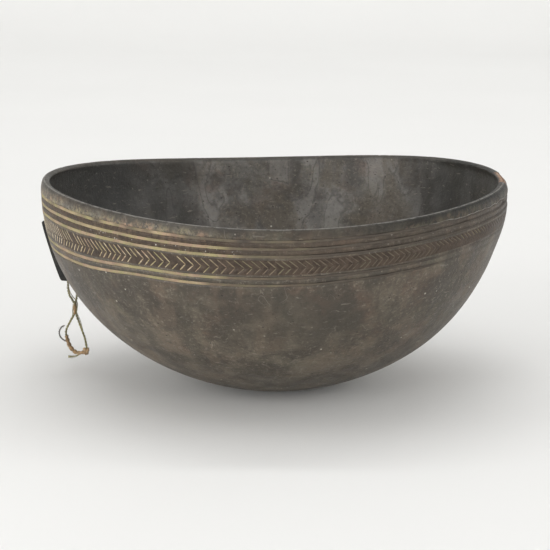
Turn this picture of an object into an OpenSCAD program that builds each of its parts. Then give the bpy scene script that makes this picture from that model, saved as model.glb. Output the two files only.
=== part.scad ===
// Carved wooden bowl with a pierced lug, incised lines and a hanging cord.
// Millimetres. The bowl rests on Z = 0, its axis is Z, and -Y is its front.

/* [Bowl] */
// Outer diameter at the widest level
outer_d = 300; // [240:1:360]
// Height from the base to the widest level
belly_h = 131; // [105:1:160]
// Diameter of the worn flat that the bowl rests on
base_flat_d = 30; // [20:1:60]
// Wall thickness at the rim
rim_wall = 4.5; // [3:0.1:8]
// Thickness of the floor at its middle
floor_t = 9; // [6:0.5:16]

/* [Rim] */
// How far the rim's front and back lie below the widest level
rim_below_belly = 1.5; // [0:0.1:4]
// How much higher the rim stands at its two ends than at its front and back
rim_rise = 9; // [3:0.5:14]

/* [Carved lines] */
// Width of each incised line
line_w = 2.1; // [1:0.1:3]
// Depth of the incised lines and of the herringbone band
carve_depth = 0.6; // [0.4:0.1:1]
// Depth of the first upper line's middle below the rim
upper_line_drop = 7.5; // [5:0.5:10]
// Distance from one upper line to the next
upper_line_pitch = 4.9; // [4:0.1:6]
// Distance from one lower line to the next
lower_line_pitch = 4.8; // [4:0.1:6]

/* [Herringbone] */
// Height of the herringbone band
band_h = 10.4; // [8:0.2:14]
// Plain wood between the band and the lines beside it
band_gap = 0.9; // [0.5:0.1:2]
// Number of chevrons round the bowl
chevron_count = 240; // [120:1:300]
// Width of one stroke
stroke_w = 0.9; // [0.5:0.1:1.4]
// Share of the band's height that the upper strokes take
upper_stroke_share = 0.58; // [0.4:0.01:0.7]
// How far a stroke leans sideways for each millimetre that it drops
stroke_lean = 1; // [0.5:0.05:1.4]

/* [Lug] */
// Direction of the lug, in degrees from +X
lug_angle = 167; // [0:1:359]
// Width of the lug, along the bowl's side
lug_w = 15; // [10:0.5:24]
// Height of the lug
lug_h = 40; // [30:1:55]
// Depth of the lug's top below the widest level
lug_top_drop = 30; // [24:1:40]
// How far the lug stands out from the bowl's side at its top
lug_out_top = 12; // [8:0.5:18]
// How far the lug stands out from the bowl's side at its bottom
lug_out_bottom = 18; // [14:0.5:24]
// Radius of the lug's outer corners
lug_corner_r = 3; // [1:0.5:4]
// Diameter of the hole through the lug
lug_hole_d = 6; // [5:0.2:8]
// Height of the hole's axis above the lug's bottom
lug_hole_up = 7; // [6:0.5:14]
// Wood between the hole and the bowl's side
lug_hole_web = 3; // [2:0.5:6]

/* [Cord] */
// Diameter of the cord
cord_d = 1.4; // [1:0.1:2]
// Diameter of the thin tails
tail_d = 1; // [0.8:0.1:1.4]
// Diameter of the wrapping round the place where the cord crosses itself
wrap_d = 3.6; // [3.2:0.1:4.5]
// Diameter of the whipping along the foot of the loop
whipping_d = 3; // [2.4:0.1:4]
// Diameter of the knot
knot_d = 5; // [4:0.5:7]
// Height of the knot
knot_h = 6; // [4:0.5:9]

/* [Hidden] */

// Facets of the turned surfaces when they are shown as a mesh
round_fn = 180;
// Facets of the very large cylinders that shape the rim and the lines
saddle_fn = 1440;
// Facets of the lug's hole and of the small round pieces
small_fn = 48;
// Sides of the cord's tubes, and flats in each of the lug's rounded corners
tube_sides = 8;
corner_steps = 5;
// How far a cutter runs past the wood
past = 2;

outer_r = outer_d / 2;
base_flat_r = base_flat_d / 2;
// The body is half an ellipsoid of revolution whose middle is at the widest level
body_c = belly_h / sqrt(1 - pow(base_flat_r / outer_r, 2));
hollow_r = outer_r - rim_wall;
hollow_c = belly_h - floor_t;

// The rim is where the body meets a very large cylinder that lies along Y
rim_mid_z = belly_h - rim_below_belly;
saddle_r = (pow(outer_r, 2) + pow(rim_rise, 2)) / (2 * rim_rise);

upper_drops = [for (i = [0:2]) upper_line_drop + i * upper_line_pitch];
band_top_drop = upper_drops[2] + line_w / 2 + band_gap;
band_bottom_drop = band_top_drop + band_h;
lower_drops = [for (i = [0:1]) band_bottom_drop + band_gap + line_w / 2 + i * lower_line_pitch];

// The strokes keep this far inside the band, and this far from each other at a chevron's point
stroke_margin = 0.4;
stroke_split = 0.3;
strokes_top_drop = band_top_drop + stroke_margin;
strokes_bottom_drop = band_bottom_drop - stroke_margin;
strokes_point_drop = strokes_top_drop + upper_stroke_share * (strokes_bottom_drop - strokes_top_drop);
lean_angle = atan(stroke_lean);

lug_top_z = belly_h - lug_top_drop;
lug_bottom_z = lug_top_z - lug_h;
lug_hole_z = lug_bottom_z + lug_hole_up;
lug_hole_r = lug_hole_d / 2;
lug_hole_out = body_r(lug_hole_z) + lug_hole_web + lug_hole_r;

// The cord's route, measured from the middle of the lug's hole as [along the hole towards the
// front, outwards from the bowl, up]. It goes down beside the lug, through the wrap, round the
// foot of the loop, and back through the wrap to the lug's other side.
cord_route = [
    [0.3, 0, -2.2], [4, 0, -2.2], [7.9, 0, -2.2], [9.4, 0, -2.6], [10.5, 0, -3.7], [10.9, 0, -5.2],
    [10.9, 0, -9], [10.3, 0, -13], [7.8, 0, -16.5], [4.4, -0.3, -19.5], [1.6, -0.7, -22.5],
    [0.8, -0.9, -25], [0.6, -1.2, -28], [0.3, -1.8, -31], [0, -2.8, -34], [0, -4, -37.2],
    [0, -5.4, -40.8], [0, -6.8, -44.6], [0, -8, -48.4], [0, -8.6, -52], [-0.6, -8.4, -54.8],
    [-0.4, -6.6, -56.8], [0, -4.2, -57.4], [0, -1.8, -57.4], [0, 0.4, -56.2], [0, 2.4, -54.2],
    [0, 3.9, -51.6], [0, 4.8, -48.8], [0, 5.5, -46], [0, 5.8, -43.4], [0, 5, -40.4],
    [0, 3.4, -37.2], [0, 1.6, -34], [-0.3, 0, -31], [-0.6, -0.5, -28], [-0.8, -0.9, -25],
    [-1.6, -1, -22.5], [-4.4, -0.8, -19.5], [-7.8, -0.3, -16.5], [-10.3, 0, -13], [-10.9, 0, -9],
    [-10.9, 0, -5.2], [-10.5, 0, -3.7], [-9.4, 0, -2.6], [-7.9, 0, -2.2], [-4, 0, -2.2],
    [-0.3, 0, -2.2]];
// The whipping covers the route between these two of its points
whipping_first = 21;
whipping_last = 28;
wrap_top = [0, -0.8, -23.2];
wrap_bottom = [0, -0.9, -30.6];
knot_middle = [0, -8.4, -55.6];
tail_upper_route = [[0, 5.3, -50], [0, 7.6, -49], [0, 9.8, -47], [0, 10.6, -44.2],
    [0, 9.9, -41.6], [0, 8.4, -39.8], [0, 6.8, -39.2]];
tail_lower_route = [[0, -3.4, -58.2], [0, -1.8, -59.4], [0, 0.2, -60.1], [0, 2.2, -60.4],
    [0, 4.2, -60.4]];

// Radius of the body at a height above the base
function body_r(z) = outer_r * sqrt(1 - pow((z - belly_h) / body_c, 2));

// How far the body's surface faces down at a height, in degrees
function face_down(z) =
    atan2((belly_h - z) / pow(body_c, 2), body_r(z) / pow(outer_r, 2));

// Height of a line that runs a given drop below the rim, at a distance x from the middle
function line_z(drop, x) = rim_mid_z + saddle_r - sqrt(pow(saddle_r + drop, 2) - pow(x, 2));

// Points of an arc in the XY plane
function arc(middle, r, from, to, steps) =
    [for (i = [0:steps]) let (a = from + (to - from) * i / steps) middle + r * [cos(a), sin(a)]];

function unit(v) = v / norm(v);

// A point given from the middle of the lug's hole, in the bowl's own frame
function from_lug_hole(p) =
    let (out = [cos(lug_angle), sin(lug_angle), 0], along = [-sin(lug_angle), cos(lug_angle), 0])
    p[0] * along + (lug_hole_out + p[1]) * out + [0, 0, lug_hole_z + p[2]];

// Direction of a route at its point i
function heading(route, i) = unit(route[min(i + 1, len(route) - 1)] - route[max(i - 1, 0)]);

// The part of v that is square to the direction t
function squared(v, t) = unit(v - (v * t) * t);

// Rings of points round a route, each turned as little as possible from the one before
function rings(route, r, sides) =
    let (
        n = len(route),
        start = squared(abs(heading(route, 0)[2]) < 0.8 ? [0, 0, 1] : [1, 0, 0], heading(route, 0)),
        sideways = [for (i = 0, s = start; i < n; i = i + 1,
            s = squared(s, heading(route, min(i, n - 1)))) s]
    )
    [for (i = [0:n - 1])
        let (t = heading(route, i), s = sideways[i], q = cross(t, s))
        for (k = [0:sides - 1]) route[i] + r * (cos(360 * k / sides) * s + sin(360 * k / sides) * q)];

// A closed tube along a route
module tube(route, d, sides = tube_sides) {
    n = len(route);
    polyhedron(
        points = rings(route, d / 2, sides),
        faces = concat(
            [[for (k = [0:sides - 1]) k]],
            [[for (k = [sides - 1:-1:0]) (n - 1) * sides + k]],
            [for (i = [0:n - 2], k = [0:sides - 1])
                let (next = (k + 1) % sides)
                [i * sides + next, i * sides + k, (i + 1) * sides + k, (i + 1) * sides + next]]));
}

// A cord's tube, along a route given from the middle of the lug's hole
module cord_tube(route, d) tube([for (p = route) from_lug_hole(p)], d);

// Sets its children on the middle of the lug's hole, with X outwards and Y along the hole
module at_lug_hole() {
    rotate([0, 0, lug_angle])
        translate([lug_hole_out, 0, lug_hole_z])
            children();
}

module ellipsoid(r, c) {
    translate([0, 0, belly_h])
        scale([r, r, c])
            sphere(r = 1, $fn = round_fn);
}

// Everything above the surface that runs the given drop below the rim
module above_rim(drop) {
    translate([0, 0, rim_mid_z + saddle_r])
        rotate([90, 0, 0])
            cylinder(r = saddle_r + drop, h = 2 * (outer_r + past), center = true, $fn = saddle_fn);
}

// The body's skin between two drops, from the carved depth out to a given height above it
module carved_band(drop, width, proud) {
    intersection() {
        difference() {
            ellipsoid(outer_r + proud, body_c + proud);
            ellipsoid(outer_r - carve_depth, body_c - carve_depth);
        }
        difference() {
            above_rim(drop + width / 2);
            above_rim(drop - width / 2);
        }
    }
}

// The lug's outline, as distance from the bowl's axis and height
module lug_outline() {
    top_out = body_r(lug_top_z) + lug_out_top;
    bottom_out = body_r(lug_bottom_z) + lug_out_bottom;
    inside = body_r(lug_bottom_z) - 2 * rim_wall;
    slope = atan2(top_out - bottom_out, lug_h);
    r = lug_corner_r;
    // The corners' middles lie where an arc meets the outer face and the lug's top or bottom
    top_middle = [top_out - r * (1 + sin(slope)) / cos(slope), lug_top_z - r];
    bottom_middle = [bottom_out - r * (1 - sin(slope)) / cos(slope), lug_bottom_z + r];
    polygon(concat(
        [[inside, lug_top_z], [inside, lug_bottom_z]],
        arc(bottom_middle, r, -90, -slope, corner_steps),
        arc(top_middle, r, -slope, 90, corner_steps)));
}

module lug() {
    difference() {
        rotate([0, 0, lug_angle])
            rotate([90, 0, 0])
                linear_extrude(height = lug_w, center = true)
                    lug_outline();
        at_lug_hole()
            rotate([90, 0, 0])
                cylinder(d = lug_hole_d, h = lug_w + 2 * past, center = true, $fn = small_fn);
    }
}

module bowl() {
    color("#4b443c")
        difference() {
            union() {
                ellipsoid(outer_r, body_c);
                lug();
            }
            // Below the flat that the bowl rests on
            translate([-outer_r, -outer_r, -outer_r])
                cube([outer_d, outer_d, outer_r]);
            ellipsoid(hollow_r, hollow_c);
            above_rim(0);
            for (drop = concat(upper_drops, lower_drops))
                carved_band(drop, line_w, past);
            carved_band((band_top_drop + band_bottom_drop) / 2, band_h, past);
        }
}

// The pale fill in one incised line
module line_fill(drop) {
    color("#b09a6e")
        carved_band(drop, line_w, 0);
}

module upper_line_fill_1() line_fill(upper_drops[0]);
module upper_line_fill_2() line_fill(upper_drops[1]);
module upper_line_fill_3() line_fill(upper_drops[2]);
module lower_line_fill_1() line_fill(lower_drops[0]);
module lower_line_fill_2() line_fill(lower_drops[1]);

// One stroke between two drops, whose middle is at an angle round the bowl. A lean above zero
// carries its foot towards larger angles.
module stroke(angle, from_drop, to_drop, lean) {
    z = line_z((from_drop + to_drop) / 2, outer_r * cos(angle));
    rotate([0, 0, angle])
        translate([body_r(z), 0, z])
            rotate([0, face_down(z), 0])
                rotate([lean, 0, 0])
                    translate([-carve_depth / 2, 0, 0])
                        cube([carve_depth, stroke_w, (to_drop - from_drop) / cos(lean)], center = true);
}

// Chevrons that point the same way all round, each of two strokes
module herringbone_fill() {
    half_split = stroke_split / 2;
    upper_mid = (strokes_point_drop - strokes_top_drop) / 2 * stroke_lean;
    lower_mid = (strokes_bottom_drop - strokes_point_drop) / 2 * stroke_lean;
    degrees_per_mm = 180 / (PI * outer_r);
    color("#a89468")
        for (i = [0:chevron_count - 1]) {
            point = 360 * i / chevron_count;
            stroke(point - upper_mid * degrees_per_mm,
                strokes_top_drop, strokes_point_drop - half_split, lean_angle);
            stroke(point - lower_mid * degrees_per_mm,
                strokes_point_drop + half_split, strokes_bottom_drop, -lean_angle);
        }
}

// The cord that passes through the lug and hangs as a loop
module cord_loop() {
    color("#6b6048")
        cord_tube(cord_route, cord_d);
}

// Fibre wound round the place where the cord crosses itself
module cord_wrap() {
    color("#7d6238")
        cord_tube([wrap_top, wrap_bottom], wrap_d);
}

// Whipping wound along the foot of the loop
module cord_whipping() {
    color("#85683f")
        cord_tube([for (i = [whipping_first:whipping_last]) cord_route[i]], whipping_d);
}

module cord_knot() {
    color("#6e5434")
        at_lug_hole()
            translate([knot_middle[1], knot_middle[0], knot_middle[2]])
                scale([knot_d, knot_d, knot_h])
                    sphere(d = 1, $fn = small_fn);
}

// The cord's two loose ends
module cord_tail_upper() {
    color("#57524a")
        cord_tube(tail_upper_route, tail_d);
}
module cord_tail_lower() {
    color("#6f6744")
        cord_tube(tail_lower_route, tail_d);
}

bowl();
upper_line_fill_1();
upper_line_fill_2();
upper_line_fill_3();
herringbone_fill();
lower_line_fill_1();
lower_line_fill_2();
cord_loop();
cord_wrap();
cord_whipping();
cord_knot();
cord_tail_upper();
cord_tail_lower();
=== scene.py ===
"""Carved wooden bowl: the looks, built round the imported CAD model. Metres; mm below are scaled."""

import random
from math import asin, cos, degrees, exp, hypot, pi, radians, sin, sqrt, tanh

import bpy
import numpy as np
from mathutils import Matrix, Vector, noise


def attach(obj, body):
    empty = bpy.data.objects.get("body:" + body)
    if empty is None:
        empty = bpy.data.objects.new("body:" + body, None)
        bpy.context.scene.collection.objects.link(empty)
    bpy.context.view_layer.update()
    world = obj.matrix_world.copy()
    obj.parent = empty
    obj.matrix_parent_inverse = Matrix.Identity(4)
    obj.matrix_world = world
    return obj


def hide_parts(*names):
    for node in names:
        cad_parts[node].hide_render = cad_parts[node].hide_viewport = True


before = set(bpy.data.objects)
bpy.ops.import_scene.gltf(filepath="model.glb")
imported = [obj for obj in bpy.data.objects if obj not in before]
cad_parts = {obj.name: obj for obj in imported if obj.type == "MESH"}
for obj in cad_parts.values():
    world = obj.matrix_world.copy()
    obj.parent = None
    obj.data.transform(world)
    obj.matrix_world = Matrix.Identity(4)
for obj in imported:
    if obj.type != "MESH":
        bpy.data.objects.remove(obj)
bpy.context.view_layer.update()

MM = 0.001
TURN = 2 * pi
random.seed(7)

# ---- the bowl's own sizes, in mm

OUTER_R = 150.0
BELLY_Z = 131.0
BASE_FLAT_R = 15.0
BODY_C = BELLY_Z / sqrt(1 - (BASE_FLAT_R / OUTER_R) ** 2)
RIM_WALL = 4.5
FLOOR_T = 9.0
HOLLOW_R = OUTER_R - RIM_WALL
HOLLOW_C = BELLY_Z - FLOOR_T

RIM_MEAN = 3.0  # the rim's mean height above the belly
RIM_RISE = 9.0  # its ends stand this much above its front and back
CURL_H = 60.0  # how fast the wall leans in above the belly

LINE_W = 2.1
CARVE = 0.6
UPPER_DROPS = [7.5 + 4.9 * i for i in range(3)]
BAND_TOP = UPPER_DROPS[2] + LINE_W / 2 + 0.9
BAND_BOTTOM = BAND_TOP + 10.4
LOWER_DROPS = [BAND_BOTTOM + 0.9 + LINE_W / 2 + 4.8 * i for i in range(2)]
CARVED_END = LOWER_DROPS[1] + 4.5
CHEVRONS = 240

LUG_ANGLE = radians(167)
LUG_W = 15.0
LUG_H = 40.0
LUG_TOP_Z = BELLY_Z - 30
LUG_BOTTOM_Z = LUG_TOP_Z - LUG_H
LUG_HOLE_R = 3.0
LUG_HOLE_Z = LUG_BOTTOM_Z + 7
LUG_CORNER_R = 1.2


def body_r(z):
    """The plain ellipsoid's radius at a height."""
    return OUTER_R * sqrt(max(0.0, 1 - ((z - BELLY_Z) / BODY_C) ** 2))


LUG_HOLE_OUT = body_r(LUG_HOLE_Z) + 3 + LUG_HOLE_R

# ---- camera

CAMERA_AT = Vector((0, -1185.4, 317.5)) * MM
CAMERA_AIM = Vector((1.4, 0, 72)) * MM
CAMERA_ROLL = radians(0.55)
CAMERA_LENS = 120.9


def make_camera():
    data = bpy.data.cameras.new("camera")
    data.lens = CAMERA_LENS
    data.sensor_width = 36
    data.clip_end = 50
    cam = bpy.data.objects.new("camera", data)
    bpy.context.scene.collection.objects.link(cam)
    turn = (CAMERA_AIM - CAMERA_AT).to_track_quat("-Z", "Y").to_matrix().to_4x4()
    cam.matrix_world = Matrix.Translation(CAMERA_AT) @ turn @ Matrix.Rotation(CAMERA_ROLL, 4, "Z")
    bpy.context.scene.camera = cam


make_camera()

# ---- mesh helpers


def new_mesh(name, verts, faces, materials, smooth=True, unit=MM):
    """A mesh object from points in mm."""
    mesh = bpy.data.meshes.new(name)
    mesh.from_pydata([tuple(c * unit for c in v) for v in verts], [], faces)
    mesh.update()
    for m in materials:
        mesh.materials.append(m)
    if smooth:
        mesh.polygons.foreach_set("use_smooth", [True] * len(mesh.polygons))
    ob = bpy.data.objects.new(name, mesh)
    bpy.context.scene.collection.objects.link(ob)
    return ob


def set_attribute(ob, name, values):
    layer = ob.data.attributes.new(name, "FLOAT", "POINT")
    layer.data.foreach_set("value", np.asarray(values, np.float32))


def smoothstep(low, high, x):
    t = min(1.0, max(0.0, (x - low) / (high - low)))
    return t * t * (3 - 2 * t)


def plateau(x, rise_from, rise_to, fall_from, fall_to):
    """1 between rise_to and fall_from, fading to 0 on both sides."""
    return smoothstep(rise_from, rise_to, x) * (1 - smoothstep(fall_from, fall_to, x))


def wave(x, y=0.0, z=0.0):
    """Smooth noise, from -1 to 1, around zero."""
    return noise.noise(Vector((x, y, z)))


def ring_wave(a, rate, level):
    """The same noise round the bowl: rate says how fast it changes with the angle a."""
    return wave(rate * cos(a), rate * sin(a), level)


def polar(r, a, z):
    """A point at a radius, an angle round the bowl and a height."""
    return (r * cos(a), r * sin(a), z)


# ---- paths and tubes

PATH_STEPS = 16  # between two given points of a path


def smooth_path(points, step):
    """Points a step apart along a smooth curve through the given ones."""
    p = [Vector(q) for q in points]
    p = [p[0] * 2 - p[1]] + p + [p[-1] * 2 - p[-2]]
    fine = []
    for i in range(1, len(p) - 2):
        for k in range(PATH_STEPS):
            t = k / PATH_STEPS
            a, b, c, d = p[i - 1], p[i], p[i + 1], p[i + 2]
            bend, twist = 2 * a - 5 * b + 4 * c - d, 3 * b - a - 3 * c + d
            fine.append(0.5 * (2 * b + (c - a) * t + bend * t * t + twist * t**3))
    fine.append(p[-2])
    out = [fine[0]]
    left = step
    for a, b in zip(fine, fine[1:]):
        gap = (b - a).length
        while gap > 0 and left <= gap:
            a = a + (b - a) * (left / gap)
            gap = (b - a).length
            out.append(a)
            left = step
        left -= gap
    if (out[-1] - fine[-1]).length > step * 0.3:
        out.append(fine[-1])
    return out


def frames_along(path, closed=False):
    """A direction, a side and a third axis at each point, turned as little as possible."""
    n = len(path)
    headings = []
    for i in range(n):
        a = path[(i - 1) % n] if closed else path[max(i - 1, 0)]
        b = path[(i + 1) % n] if closed else path[min(i + 1, n - 1)]
        headings.append((b - a).normalized())
    side = Vector((0, 0, 1)) if abs(headings[0].z) < 0.8 else Vector((1, 0, 0))
    out = []
    for t in headings:
        side = (side - t * side.dot(t)).normalized()
        out.append((t, side, t.cross(side)))
    return out


def skin(faces, start, rows, sides, closed=False):
    """Faces between rows of points that follow one another, each row a ring of so many sides."""
    for i in range(rows if closed else rows - 1):
        a, b = start + i * sides, start + (i + 1) % rows * sides
        for k in range(sides):
            j = (k + 1) % sides
            faces.append((a + k, a + j, b + j, b + k))


def tube_into(verts, faces, path, radius, sides=6, closed=False):
    """Adds a tube round a path. radius is a number, or a function of the share of the way along."""
    n = len(path)
    start = len(verts)
    for i, (t, s, q) in enumerate(frames_along(path, closed)):
        r = radius(i / (n - 1)) if callable(radius) else radius
        for k in range(sides):
            a = TURN * k / sides
            verts.append(path[i] + r * (cos(a) * s + sin(a) * q))
    skin(faces, start, n, sides, closed)
    if not closed:
        faces.append(tuple(start + k for k in range(sides - 1, -1, -1)))
        faces.append(tuple(start + (n - 1) * sides + k for k in range(sides)))


def helix_round(path, radius, pitch, phase, shake, seed, closed=False, flat=(1.0, 1.0)):
    """A path that winds round another one, in a circle or flattened. radius is a function."""
    out = []
    gone = 0.0
    n = len(path)
    for i, (t, s, q) in enumerate(frames_along(path, closed)):
        if i:
            gone += (path[i] - path[i - 1]).length
        turn = phase + TURN * gone / pitch
        r = radius(i / (n - 1))
        r *= 1 + shake * wave(gone * 0.6, seed, 3.1)
        out.append(path[i] + r * (flat[0] * cos(turn) * s + flat[1] * sin(turn) * q))
    return out


# ---- the cord

CORD_D = 1.4
TAIL_D = 1.0
WRAP_D = 3.6
WHIPPING_D = 3.0
KNOT_D = 5.0
KNOT_H = 6.0
CORD_ROUTE = [
    (0.3, 0, -2.2), (4, 0, -2.2), (7.9, 0, -2.2), (9.4, 0, -2.6), (10.5, 0, -3.7), (10.9, 0, -5.2),
    (10.9, 0, -9), (10.3, 0, -13), (7.8, 0, -16.5), (4.4, -0.3, -19.5), (1.6, -0.7, -22.5),
    (0.8, -0.9, -25), (0.6, -1.2, -28), (0.3, -1.8, -31), (0, -2.8, -34), (0, -4, -37.2),
    (0, -5.4, -40.8), (0, -6.8, -44.6), (0, -8, -48.4), (0, -8.6, -52), (-0.6, -8.4, -54.8),
    (-0.4, -6.6, -56.8), (0, -4.2, -57.4), (0, -1.8, -57.4), (0, 0.4, -56.2), (0, 2.4, -54.2),
    (0, 3.9, -51.6), (0, 4.8, -48.8), (0, 5.5, -46), (0, 5.8, -43.4), (0, 5, -40.4),
    (0, 3.4, -37.2), (0, 1.6, -34), (-0.3, 0, -31), (-0.6, -0.5, -28), (-0.8, -0.9, -25),
    (-1.6, -1, -22.5), (-4.4, -0.8, -19.5), (-7.8, -0.3, -16.5), (-10.3, 0, -13), (-10.9, 0, -9),
    (-10.9, 0, -5.2), (-10.5, 0, -3.7), (-9.4, 0, -2.6), (-7.9, 0, -2.2), (-4, 0, -2.2),
    (-0.3, 0, -2.2),
]
WHIPPING_FIRST, WHIPPING_LAST = 21, 28
# Single plies that part from the cord: first and last route points, how far aside, their radius
SPLIT_PLIES = [
    (6, 13, (0.3, -2.6), 0.30), (32, 37, (-0.2, 1.7), 0.26), (37, 42, (0.4, 2.2), 0.28),
    (11, 17, (0.2, -1.4), 0.24),
]
WRAP_TOP, WRAP_BOTTOM = (0, -0.8, -23.2), (0, -0.9, -30.6)
KNOT_MIDDLE = (0, -8.4, -55.6)
KNOT_STEPS = 120
WOUND_STEP = 0.035  # between the points of a wound strand's path
TAIL_UPPER_ROUTE = [
    (0, 5.3, -50), (0, 7.6, -49), (0, 9.8, -47), (0, 10.6, -44.2), (0, 9.9, -41.6), (0, 8.4, -39.8),
    (0, 6.8, -39.2),
]
TAIL_LOWER_ROUTE = [
    (0, -3.4, -58.2), (0, -1.8, -59.4), (0, 0.2, -60.1), (0, 2.2, -60.4), (0, 4.2, -60.4),
]
LUG_OUTWARDS = Vector((cos(LUG_ANGLE), sin(LUG_ANGLE), 0))
LUG_ALONG = Vector((-sin(LUG_ANGLE), cos(LUG_ANGLE), 0))


def from_lug_hole(p):
    """A point given from the middle of the lug's hole, in the bowl's frame, in mm."""
    return p[0] * LUG_ALONG + (LUG_HOLE_OUT + p[1]) * LUG_OUTWARDS + Vector((0, 0, LUG_HOLE_Z + p[2]))


def route(points, step):
    return smooth_path([from_lug_hole(p) for p in points], step)


# Each ply's distance from the cord's middle line and its radius, in cord diameters
PLY_OUT, PLY_R, PLY_SHAKE = 0.27, 0.31, 0.35
STRAY_R = 0.055


def two_ply(verts, faces, path, d, pitch, sides=7, taper=lambda u: 1.0, closed=False):
    """Two plies laid round each other along a path."""
    for ply in range(2):
        turn, seed = pi * ply, 5.0 * ply
        spine = helix_round(path, lambda u: PLY_OUT * d * taper(u), pitch, turn, PLY_SHAKE, seed, closed)
        tube_into(verts, faces, spine, lambda u: PLY_R * d * taper(u), sides, closed)


def stray_fibres(verts, faces, path, count, reach, seed):
    """Thin fibres that part from a cord and bend back towards it."""
    rng = random.Random(seed)
    marks = frames_along(path)
    for _ in range(count):
        span = rng.randint(8, 20)
        i = rng.randint(2, len(path) - span - 3)
        angle = rng.uniform(0, TURN)
        away = rng.uniform(0.4, 1.0) * reach
        loose = rng.random() < 0.5
        pts = []
        for k in range(span):
            u = k / (span - 1)
            lift = sin(pi * u * (0.5 if loose else 1.0)) * away
            t, s, q = marks[i + k]
            a = angle + u * rng.uniform(0.1, 0.4)
            pts.append(path[i + k] + (0.5 + lift) * (cos(a) * s + sin(a) * q))
        tube_into(verts, faces, pts, STRAY_R, 4)


def wound(verts, faces, path, outer_r, strand_r, seed, ends=0.82, lumps=0, flat=(1.0, 1.0)):
    """A strand wound tightly round a path, with a lumpy outer radius."""

    def radius(u):
        belly = ends + (1 - ends) * sin(pi * min(1, max(0, u)))
        hitch = 1 - 0.42 * abs(sin(pi * lumps * u)) ** 3 if lumps else 1.0
        return (outer_r - strand_r) * belly * hitch

    spine = helix_round(path, radius, strand_r * 1.75, 0.0, 0.30, seed, False, flat)
    tube_into(verts, faces, spine, strand_r, 6)


# ---- materials

class Nodes:
    """A short way to write a material's nodes."""

    def __init__(self, name):
        self.material = bpy.data.materials.new(name)
        self.material.use_nodes = True
        self.tree = self.material.node_tree
        self.shader = self.tree.nodes["Principled BSDF"]

    def put(self, socket, value):
        """Links a socket or sets its value. A colour is given as three numbers."""
        if isinstance(value, bpy.types.NodeSocket):
            self.tree.links.new(value, socket)
        else:
            socket.default_value = (*value, 1.0) if socket.type == "RGBA" else value

    def put_all(self, node, inputs):
        """Fills a node's inputs by name; an underscore stands for a space."""
        for name, value in inputs.items():
            self.put(node.inputs[name.replace("_", " ")], value)
        return node

    def add(self, kind, **inputs):
        return self.put_all(self.tree.nodes.new(kind), inputs)

    def surface(self, **inputs):
        """Fills the shader's inputs and gives the finished material."""
        self.put_all(self.shader, inputs)
        return self.material

    def position(self, scale=(1, 1, 1)):
        """The place on the object, in metres times a scale."""
        place = self.add("ShaderNodeTexCoord").outputs["Object"]
        return self.add("ShaderNodeMapping", Vector=place, Scale=scale).outputs[0]

    def noise(self, scale, detail, rough, stretch=(1, 1, 1), distort=0.0):
        inputs = dict(Scale=scale, Detail=detail, Roughness=rough, Distortion=distort)
        node = self.add("ShaderNodeTexNoise", Vector=self.position(stretch), **inputs)
        return node.outputs["Fac"]

    def spots(self, scale, stretch=(1, 1, 1)):
        node = self.add("ShaderNodeTexVoronoi", Vector=self.position(stretch), Scale=scale)
        return node.outputs["Distance"]

    def ramp(self, fac, low, high, to_low=0.0, to_high=1.0):
        ends = dict(From_Min=low, From_Max=high, To_Min=to_low, To_Max=to_high)
        return self.add("ShaderNodeMapRange", Value=fac, **ends).outputs["Result"]

    def math(self, operation, a, b=0.0):
        node = self.add("ShaderNodeMath")
        node.operation = operation
        self.put(node.inputs[0], a)
        self.put(node.inputs[1], b)
        return node.outputs[0]

    def times(self, a, b):
        return self.math("MULTIPLY", a, b)

    def mix(self, share, a, b):
        node = self.add("ShaderNodeMix")
        node.data_type = "RGBA"
        for place, value in ((0, share), (6, a), (7, b)):
            self.put(node.inputs[place], value)
        return node.outputs[2]

    def tint(self, base, mask, share, towards):
        """The base colour, taken a share of the way to another one where the mask is 1."""
        return self.mix(self.times(mask, share), base, towards)

    def attribute(self, name):
        node = self.add("ShaderNodeAttribute")
        node.attribute_name = name
        return node.outputs["Fac"]

    def bump(self, height, distance, strength=1.0, after=None):
        node = self.add("ShaderNodeBump", Height=height, Distance=distance, Strength=strength)
        if after is not None:
            self.put(node.inputs["Normal"], after)
        return node.outputs[0]


# Painted bounce light: the outside is painted paler towards the base: from this height, in m, down to this
# one
BOUNCE_LIGHT_TOP, BOUNCE_LIGHT_BOTTOM = 0.080, 0.022


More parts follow.
